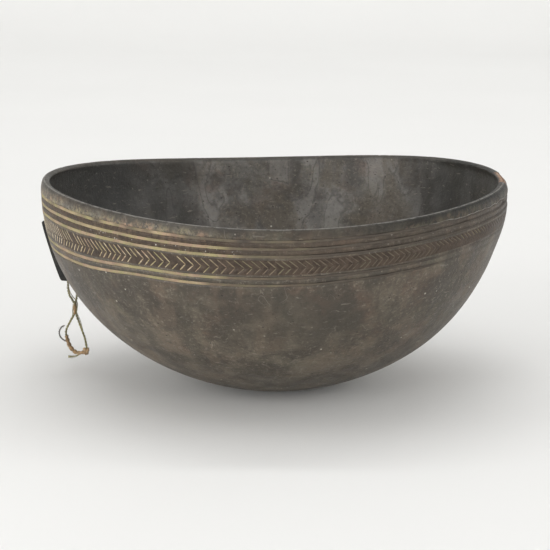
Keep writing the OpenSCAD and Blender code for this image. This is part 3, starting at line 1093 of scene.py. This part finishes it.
def inner_wall(surface):
    for drop in INNER_DROPS:
        ring = []
        stride = 1 if drop < 3 else 2
        for i in range(0, COLUMNS, stride):
            a = column_angle(i, 0.0)
            z = rim_z(a) - drop
            r = inside_r(a, z) + 0.15 * ring_wave(a, 5, z / 20)
            p = polar(r, a, z)
            ring.append(surface.point(p, dim=inside_dim(p[0])))
        surface.ring(ring, 1)
    for row in range(1, INNER_ROWS):
        left = INNER_ROWS - row
        stride = 16 if left < 3 else 8 if left < 5 else 4 if left < 9 else 2
        t = row / INNER_ROWS
        ring = []
        for i in range(0, COLUMNS, stride):
            a = column_angle(i, 0.0)
            start = asin((BELLY_Z - rim_z(a) + INNER_DROPS[-1]) / HOLLOW_C)
            turn = start + (pi / 2 - start) * t
            z = BELLY_Z - HOLLOW_C * sin(turn)
            hollow = 0.25 * wave(4 * cos(a) * (1 - t), 4 * sin(a) * (1 - t), z / 30)
            r = HOLLOW_R * cos(turn) + hollow
            p = polar(r, a, z)
            ring.append(surface.point(p, dim=inside_dim(p[0])))
        surface.ring(ring, 1)
    surface.cap(surface.point((0, 0, BELLY_Z - HOLLOW_C)), 1, True)


def make_bowl():
    surface = Surface()
    lower_body(surface)
    carved_zone(surface)
    rim_top(surface)
    inner_wall(surface)
    bowl = new_mesh("bowl_carved", surface.verts, surface.faces, [WOOD_OUT, WOOD_IN])
    bowl.data.polygons.foreach_set("material_index", surface.face_materials)
    for m in MARKS:
        set_attribute(bowl, m, surface.marks[m])
    return bowl


# ---- the lug

LUG_OUT_TOP, LUG_OUT_BOTTOM = 12, 18
LUG_ROOT_IN = 2.2
LUG_FLARE = 3.2
LUG_ACROSS = [-1.0, -0.96, -0.85, -0.6, -0.3, 0.0, 0.3, 0.6, 0.85, 0.96, 1.0]
LUG_OUT_STEPS = 14
LUG_UP_STEPS = 26
HOLE_REACH, HOLE_STEPS = 12, 12  # the cutter's half length and its number of steps


def lug_outer(z):
    """How far from the bowl's axis the lug's outer edge lies at a height: straight, with round corners."""
    bottom = body_r(LUG_BOTTOM_Z) + LUG_OUT_BOTTOM
    top = body_r(LUG_TOP_Z) + LUG_OUT_TOP
    t = (z - LUG_BOTTOM_Z) / LUG_H
    edge = bottom + (top - bottom) * t + 0.5 * sin(pi * t)
    for gone in (z - LUG_BOTTOM_Z, LUG_TOP_Z - z):
        if gone < LUG_CORNER_R:
            edge -= LUG_CORNER_R - sqrt(max(0.0, LUG_CORNER_R**2 - (LUG_CORNER_R - gone) ** 2))
    return edge


def lug_point(t_up, t_out, across):
    """A point of the lug's skin: shares of the way up and out, and across from -1 to 1."""
    z = LUG_BOTTOM_Z + LUG_H * t_up
    root = body_r(z) - LUG_ROOT_IN
    rho = root + (lug_outer(z) - root) * t_out
    proud = max(0.0, rho - body_r(z))
    half = LUG_W / 2 - 0.045 * proud + LUG_FLARE * exp(-proud / 1.6) * 0.6
    rounding = sqrt(max(0.0, 1 - abs(across) ** 6))
    top_bottom = 1.0 - (1 - rounding) * 0.9
    z_mid = LUG_BOTTOM_Z + LUG_H / 2
    flare_up = LUG_FLARE * exp(-proud / 1.8) * (abs(t_up - 0.5) * 2) ** 6 * (1 if t_up > 0.5 else -1)
    z = z_mid + (z - z_mid) * (0.985 + 0.015 * top_bottom) + flare_up
    along = across * half * (1 - 0.10 * (abs(t_up - 0.5) * 2) ** 8)
    rho -= (1 - rounding) * 0.9 * t_out
    lump = 0.12 * wave(rho / 9, z / 9, across * 2)
    return (rho + lump) * LUG_OUTWARDS + along * LUG_ALONG + Vector((0, 0, z))


def make_lug():
    """A closed block: its skin is a grid round the section from root to root, with two ends."""
    verts, faces = [], []
    outs = [i / LUG_OUT_STEPS for i in range(LUG_OUT_STEPS + 1)]
    # once round in plan: out along one side, across the edge, and back along the other side
    loop = [(o, -1.0) for o in outs[:-1]] + [(1.0, x) for x in LUG_ACROSS]
    loop += [(o, 1.0) for o in reversed(outs[:-1])]
    ups = [0.5 - 0.5 * cos(pi * i / LUG_UP_STEPS) for i in range(LUG_UP_STEPS + 1)]
    for u in ups:
        for o, x in loop:
            verts.append(lug_point(u, o, x))
    n = len(loop)
    skin(faces, 0, len(ups), n)
    side = len(outs) - 1
    for row, turn in ((0, False), (len(ups) - 1, True)):
        base = row * n
        # strips across the end, between the two sides
        for k in range(side):
            a, b = base + k, base + k + 1
            c, d = base + n - 2 - k, base + n - 1 - k
            quad = (a, b, c, d)
            faces.append(quad if turn else quad[::-1])
        tip = tuple(base + side + k for k in range(len(LUG_ACROSS)))
        faces.append(tip if turn else tip[::-1])
    lug = new_mesh("lug_block", verts, faces, [WOOD_OUT, WOOD_IN])
    # Painted shade: the whole lug carries the collar mark, which paints it dark.
    for m in MARKS:
        set_attribute(lug, m, [1.0 * (m == "collar")] * len(verts))
    return lug


def hole_cutter():
    """The lug's hole, drilled from both ends, so slightly wider at its mouths."""
    verts, faces = [], []
    shares = [i / HOLE_STEPS * 2 - 1 for i in range(HOLE_STEPS + 1)]
    path = [from_lug_hole((HOLE_REACH * share, 0, 0)) for share in shares]
    tube_into(verts, faces, path, lambda u: LUG_HOLE_R + 0.7 * max(0, abs(u * 2 - 1) - 0.42), 28)
    return new_mesh("hole_cutter", verts, faces, [WOOD_OUT, WOOD_IN])


def boolean(target, other, operation):
    """Applies a boolean and removes the other object."""
    mod = target.modifiers.new("join", "BOOLEAN")
    mod.operation = operation
    mod.solver = "EXACT"
    mod.object = other
    evaluated = target.evaluated_get(bpy.context.evaluated_depsgraph_get())
    made = bpy.data.meshes.new_from_object(evaluated)
    target.modifiers.clear()
    old = target.data
    target.data = made
    bpy.data.meshes.remove(old)
    gone = other.data
    bpy.data.objects.remove(other)
    bpy.data.meshes.remove(gone)


def paint_lug_shade(ob):
    """Paints shade on the lug's proud part with the collar mark's darkest colour."""
    collar = ob.data.attributes["collar"].data
    for i, v in enumerate(ob.data.vertices):
        p = v.co / MM
        if p.dot(LUG_OUTWARDS) > 0 and abs(p.dot(LUG_ALONG)) < LUG_W:
            proud = hypot(p.x, p.y) - body_r(p.z)
            if LUG_BOTTOM_Z - 3 < p.z < LUG_TOP_Z + 3 and proud > 0.5:
                collar[i].value = smoothstep(0.5, 2.0, proud)


bowl = make_bowl()
lug = make_lug()
boolean(lug, hole_cutter(), "DIFFERENCE")
boolean(bowl, lug, "UNION")
paint_lug_shade(bowl)
bowl.data.name = "bowl_carved"
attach(bowl, "bowl_body")
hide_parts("bowl")

# ---- the pale fill

LINE_KEPT_TO = [252, 260, 262.7, 259, 254.7]
FILL_COLUMNS = 480
STROKE_STEPS = 8
STROKE_SUNK = 0.13


def make_line_fill(line):
    """A closed ring lying in one line's groove, crumbled and sunk where it is worn."""
    drop = LINES[line]
    half = LINE_W / 2 - 0.14
    section = [(-half, 0.0), (-half * 0.45, 0.05), (half * 0.45, 0.05), (half, 0.0)]
    section += [(half * 0.6, -0.4), (-half * 0.6, -0.4)]
    verts, pale, faces = [], [], []
    for i in range(FILL_COLUMNS):
        a = TURN * i / FILL_COLUMNS
        keep = kept(a, LINE_KEPT_TO[line])
        worn = worn_side(a)
        d = angle_deg(a)
        bare = smoothstep(255, 285, d) if d > 180 else 1 - smoothstep(30, 70, d)
        broken_off = 0.5 + 0.9 * ring_wave(a, 11, 2.3 * line)
        shrunk = 0.62 * bare * min(1.0, max(0.0, broken_off))
        for j, (along, up) in enumerate(section):
            along *= 1 - shrunk if along < 0 else 1.0
            crumble = 0.09 * ring_wave(a, 60, j * 0.8 + line * 3) + 0.05 * ring_wave(a, 150, j)
            sunk = 0.05 + 0.12 * (1 - keep) + 0.12 * worn
            z_here = rim_z(a) - drop
            top = scuff(a, z_here) - sunk + up + (crumble if j < 4 else 0) - 0.2 * worn * (j < 4)
            verts.append(carved_point(a, drop + along, top))
            whole, broken = (0.85, 0.3) if line else (0.70, 0.9)
            patchy = whole + broken * ring_wave(a, 20, line + 0.5)
            pale.append(min(1.0, keep * patchy * (1 - 0.8 * worn)))
    skin(faces, 0, FILL_COLUMNS, len(section), closed=True)
    upper = len(UPPER_DROPS)
    place = f"upper_line_{line + 1}" if line < upper else f"lower_line_{line + 1 - upper}"
    fill = new_mesh(place + "_lime", verts, faces, [FILL], smooth=False)
    set_attribute(fill, "pale", pale)
    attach(fill, "bowl_body")
    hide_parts(place.replace("line_", "line_fill_"))


def stroke_keep(a, k, lower):
    """How pale a stroke's fill is."""
    d = angle_deg(a)
    keep = kept(a, 257, 16)
    if 180 < d < 330:
        front = 0.74 - 0.42 * smoothstep(250, 288, d) + 0.22 * smoothstep(310, 316, d) * (not lower)
        keep = max(1.65 * keep, front)
    else:
        keep *= 1.5
    if 180 < d < 225:
        keep *= 1.6 - 0.6 * smoothstep(200, 222, d)
    return keep * STROKES[k]["pale"]


def make_stroke_fills():
    """A thin prism of fill in each stroke that wear has left."""
    verts, pale, faces = [], [], []
    rng = random.Random(5)
    for k in range(CHEVRONS):
        s = STROKES[k]
        for lower in (False, True):
            first = APEX + 0.15 if lower else s["start"]
            last = s["end"] if lower else APEX - 0.05
            share = s["lower"] if lower else s["upper"]
            if share < 0.25:
                continue
            start = len(verts)
            wide = s["half"] * rng.uniform(0.86, 1.02) * (0.6 + 0.4 * share)
            for i in range(STROKE_STEPS + 1):
                u = i / STROKE_STEPS
                drop = first + (last - first) * u
                taper = 0.35 + 0.65 * smoothstep(0, 0.15, u) * (1 - smoothstep(0.85, 1, u))
                deep = stroke_depth(k, drop)
                ragged = 1 + 0.25 * wave(k * 3.7, drop * 1.3, 9 * lower)
                base = -STROKE_SUNK
                reach = wide * taper * ragged
                bottom = -0.12 - deep * 0.95 - 0.02
                for side, out in ((-reach, base), (0.0, base + 0.08), (reach, base), (0.0, bottom)):
                    a = stroke_angle(k, drop, side)
                    z_here = rim_z(a) - drop
                    verts.append(carved_point(a, placed_drop(a, drop), scuff(a, z_here) + out))
                    pale.append(stroke_keep(a, k, lower) * (0.8 + 0.4 * wave(k * 1.7, u * 3)))
            skin(faces, start, STROKE_STEPS + 1, 4)
            end = start + 4 * STROKE_STEPS
            faces.append((start + 3, start + 2, start + 1, start))
            faces.append((end, end + 1, end + 2, end + 3))
    fill = new_mesh("herringbone_lime", verts, faces, [FILL], smooth=False)
    set_attribute(fill, "pale", pale)
    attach(fill, "bowl_body")
    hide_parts("herringbone_fill")


for line_number in range(len(LINES)):
    make_line_fill(line_number)
make_stroke_fills()

# ---- floor, lights and world

DISH_FLAT_R = 2.7
DISH_CURVE_R = 1.0
DISH_TOP = 1.8
DISH_SIDES = 96
DISH_CURVE_STEPS = 12
# name, place, what it is turned to, width and height, power
LIGHTS = [
    ("softbox_top", (-0.3, -0.4, 2.4), (0, 0.1, 0.05), (1.8, 1.8), 11),
    ("softbox_front_left", (-1.35, -2.0, 0.85), (0, 0, 0.1), (1.2, 1.2), 16),
    ("softbox_front_right", (1.35, -2.0, 0.85), (0, 0, 0.1), (1.2, 1.2), 12),
    ("softbox_right", (2.2, 0.2, 0.7), (0, 0, 0.1), (1.2, 1.4), 9),
    ("softbox_left", (-2.2, -0.1, 0.45), (0, 0, 0.06), (1.2, 0.8), 1.5),
    ("softbox_low", (-1.7, -1.3, 0.25), (0, 0, 0.05), (0.9, 0.4), 18),
    ("softbox_wall", (0, 1.0, 3.4), (0, 3.4, 1.0), (3.6, 0.8), 51),
]
WORLD_COLOUR, WORLD_STRENGTH = (1.0, 0.99, 0.97, 1.0), 0.56


def make_floor():
    """A pale seamless dish: a flat floor that curves up to a low wall all round."""
    n = Nodes("paper_sweep")
    tone = n.noise(2.5, 3, 0.5)
    white = n.mix(tone, (0.80, 0.80, 0.79), (0.84, 0.84, 0.83))
    tooth = n.bump(n.noise(240, 3, 0.6), 0.0004, 0.15)
    paper = n.surface(Base_Color=white, Roughness=0.75, Normal=tooth)
    profile = [(0.6, 0.0), (1.6, 0.0), (DISH_FLAT_R, 0.0)]
    for i in range(1, DISH_CURVE_STEPS + 1):
        t = pi / 2 * i / DISH_CURVE_STEPS
        profile.append((DISH_FLAT_R + DISH_CURVE_R * sin(t), DISH_CURVE_R * (1 - cos(t))))
    profile.append((DISH_FLAT_R + DISH_CURVE_R, DISH_TOP))
    verts, faces = [(0, 0, 0)], []
    for r, z in profile:
        for k in range(DISH_SIDES):
            t = TURN * k / DISH_SIDES
            verts.append(polar(r, t, z))
    for k in range(DISH_SIDES):
        j = (k + 1) % DISH_SIDES
        faces.append((0, 1 + k, 1 + j))
        for i in range(len(profile) - 1):
            low, high = 1 + i * DISH_SIDES, 1 + (i + 1) * DISH_SIDES
            faces.append((low + k, high + k, high + j, low + j))
    floor = new_mesh("paper_sweep", verts, faces, [paper], unit=1)


def area_light(name, at, aim, size, power):
    data = bpy.data.lights.new(name, "AREA")
    data.shape = "RECTANGLE"
    data.size, data.size_y = size
    data.energy = power
    light = bpy.data.objects.new(name, data)
    bpy.context.scene.collection.objects.link(light)
    light.visible_camera = False
    light.location = at
    light.rotation_euler = (Vector(aim) - Vector(at)).to_track_quat("-Z", "Y").to_euler()


make_floor()
for light in LIGHTS:
    area_light(*light)
world = bpy.data.worlds.new("studio")
world.use_nodes = True
background = world.node_tree.nodes["Background"]
background.inputs["Color"].default_value = WORLD_COLOUR
background.inputs["Strength"].default_value = WORLD_STRENGTH
bpy.context.scene.world = world
bpy.context.scene.view_settings.view_transform = "Standard"
